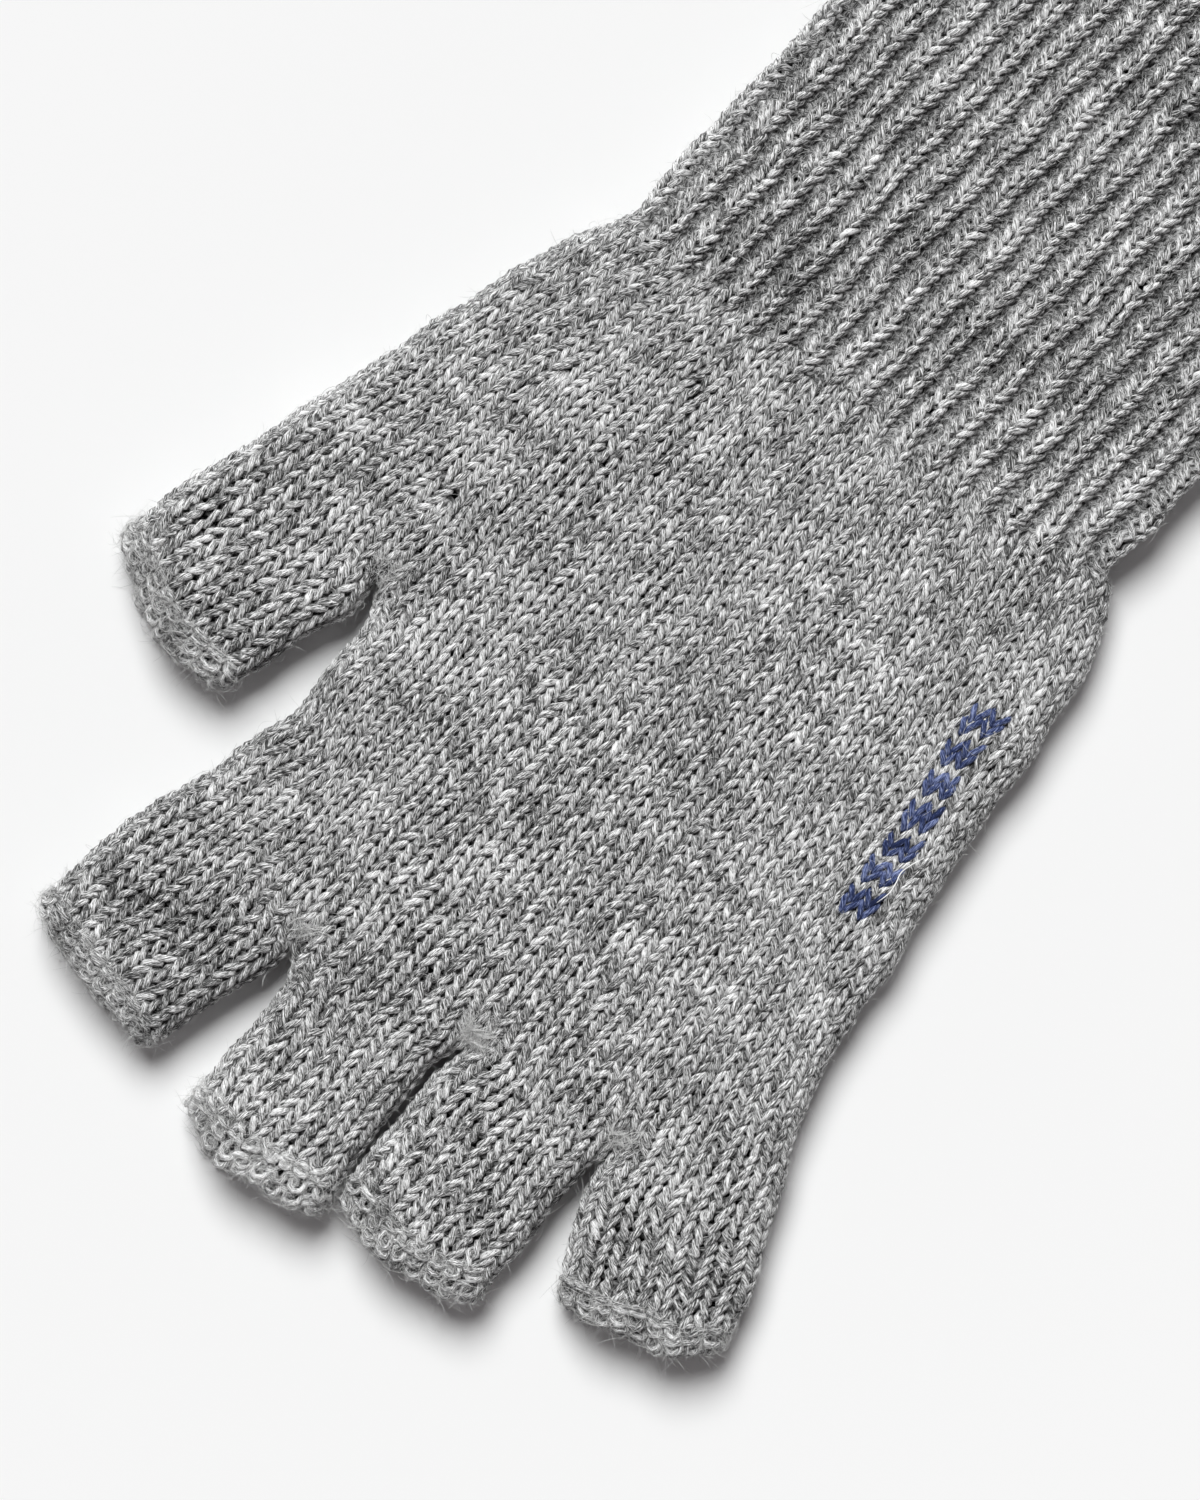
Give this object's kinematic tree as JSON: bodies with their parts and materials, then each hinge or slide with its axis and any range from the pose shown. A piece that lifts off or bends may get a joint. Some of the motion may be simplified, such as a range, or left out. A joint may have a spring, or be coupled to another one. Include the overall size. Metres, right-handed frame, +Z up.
{
  "type": "fingerless glove",
  "caption": "Left-hand fingerless glove, machine-knitted as one tube with half-length finger stalls, bound-off edges and a long rib cuff, lying flat with its back up.",
  "frame": {"origin": "middle of the footprint, on the surface the glove lies on", "axes": "+Y from the cuff to the fingertips, +X to the thumb side, +Z up through the back of the hand"},
  "size_m": [0.1326, 0.2112, 0.0111],
  "materials": {
    "knit": "heathered grey wool knit, plain side out",
    "rib": "heathered grey wool knit, one by one rib",
    "edge_yarn": "brushed heathered grey wool yarn, bound off",
    "crotch_yarn": "brushed heathered grey wool yarn",
    "mark_yarn": "navy blue yarn sewn over the knit stitches"
  },
  "bodies": {
    "hand": {"hand_tube": "knit", "back_mark": "mark_yarn", "thumb_crotch_stitch": "crotch_yarn", "index_crotch_stitch": "crotch_yarn", "middle_crotch_stitch": "crotch_yarn", "ring_crotch_stitch": "crotch_yarn"},
    "cuff": {"rib_cuff": "rib", "cuff_start_edge": "edge_yarn"},
    "thumb": {"thumb_stall": "knit", "thumb_bound_edge": "edge_yarn"},
    "index": {"index_stall": "knit", "index_bound_edge": "edge_yarn"},
    "middle": {"middle_stall": "knit", "middle_bound_edge": "edge_yarn"},
    "ring": {"ring_stall": "knit", "ring_bound_edge": "edge_yarn"},
    "little": {"little_stall": "knit", "little_bound_edge": "edge_yarn"}
  },
  "joints": [
    {"name": "thumb_fold", "type": "hinge", "parent": "hand", "child": "thumb", "pos_m": [0.0464, 0.03365, 0.003], "axis": [-0.9285, 0.3714, 0], "range_deg": [-25, 70]},
    {"name": "index_fold", "type": "hinge", "parent": "hand", "child": "index", "pos_m": [0.02678, 0.07899, 0.003], "axis": [-0.9415, 0.3371, 0], "range_deg": [-25, 85]},
    {"name": "middle_fold", "type": "hinge", "parent": "hand", "child": "middle", "pos_m": [0.00064, 0.08588, 0.003], "axis": [-0.9954, 0.0958, 0], "range_deg": [-25, 85]},
    {"name": "ring_fold", "type": "hinge", "parent": "hand", "child": "ring", "pos_m": [-0.02437, 0.0814, 0.003], "axis": [-0.9993, 0.0384, 0], "range_deg": [-25, 85]},
    {"name": "little_fold", "type": "hinge", "parent": "hand", "child": "little", "pos_m": [-0.04957, 0.07652, 0.003], "axis": [-0.9198, -0.3923, 0], "range_deg": [-25, 85]},
    {"name": "wrist_fold", "type": "hinge", "parent": "hand", "child": "cuff", "pos_m": [-0.0024, -0.0235, 0.0044], "axis": [1, 0, 0], "range_deg": [-45, 45]}
  ]
}
